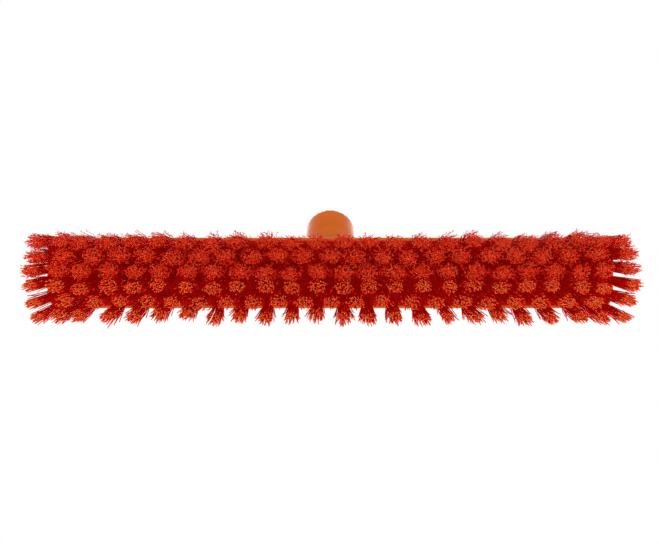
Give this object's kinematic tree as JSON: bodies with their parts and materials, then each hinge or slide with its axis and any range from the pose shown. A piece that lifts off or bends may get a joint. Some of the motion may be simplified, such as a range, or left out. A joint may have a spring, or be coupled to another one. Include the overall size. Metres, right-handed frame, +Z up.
{
  "type": "push broom head",
  "caption": "Push broom head: a long moulded block with a slanted round handle socket on top and rows of soft and stiff bristle tufts below.",
  "frame": {"origin": "on the plane of the bristle tips, below the middle of the whole head's outer box", "axes": "+X along the block, +Y towards the side the handle socket leans to (the soft bristle rows), +Z up from the bristle tips to the socket"},
  "size_m": [0.4092, 0.0738, 0.127],
  "materials": {
    "moulded_orange": "satin",
    "soft_bristle": "matte",
    "stiff_bristle": "satin"
  },
  "bodies": {
    "root": {"block": "moulded_orange", "soft_tufts_a_1": "soft_bristle", "soft_tufts_a_2": "soft_bristle", "soft_tufts_a_3": "soft_bristle", "soft_tufts_a_4": "soft_bristle", "soft_tufts_a_5": "soft_bristle", "soft_tufts_a_6": "soft_bristle", "soft_tufts_a_7": "soft_bristle", "soft_tufts_a_8": "soft_bristle", "soft_tufts_b_1": "soft_bristle", "soft_tufts_b_2": "soft_bristle", "soft_tufts_b_3": "soft_bristle", "soft_tufts_b_4": "soft_bristle", "soft_tufts_b_5": "soft_bristle", "soft_tufts_b_6": "soft_bristle", "soft_tufts_b_7": "soft_bristle", "soft_tufts_b_8": "soft_bristle", "soft_tufts_c_1": "soft_bristle", "soft_tufts_c_2": "soft_bristle", "soft_tufts_c_3": "soft_bristle", "soft_tufts_c_4": "soft_bristle", "soft_tufts_c_5": "soft_bristle", "soft_tufts_c_6": "soft_bristle", "soft_tufts_c_7": "soft_bristle", "soft_tufts_c_8": "soft_bristle", "stiff_tufts_d_1": "stiff_bristle", "stiff_tufts_d_2": "stiff_bristle", "stiff_tufts_d_3": "stiff_bristle", "stiff_tufts_d_4": "stiff_bristle", "stiff_tufts_d_5": "stiff_bristle", "stiff_tufts_d_6": "stiff_bristle", "stiff_tufts_d_7": "stiff_bristle", "stiff_tufts_d_8": "stiff_bristle", "stiff_tufts_e_1": "stiff_bristle", "stiff_tufts_e_2": "stiff_bristle", "stiff_tufts_e_3": "stiff_bristle", "stiff_tufts_e_4": "stiff_bristle", "stiff_tufts_e_5": "stiff_bristle", "stiff_tufts_e_6": "stiff_bristle", "stiff_tufts_e_7": "stiff_bristle", "stiff_tufts_e_8": "stiff_bristle", "stiff_tufts_f_1": "stiff_bristle", "stiff_tufts_f_2": "stiff_bristle", "stiff_tufts_f_3": "stiff_bristle", "stiff_tufts_f_4": "stiff_bristle", "stiff_tufts_f_5": "stiff_bristle", "stiff_tufts_f_6": "stiff_bristle", "stiff_tufts_f_7": "stiff_bristle", "stiff_tufts_f_8": "stiff_bristle"}
  },
  "joints": []
}
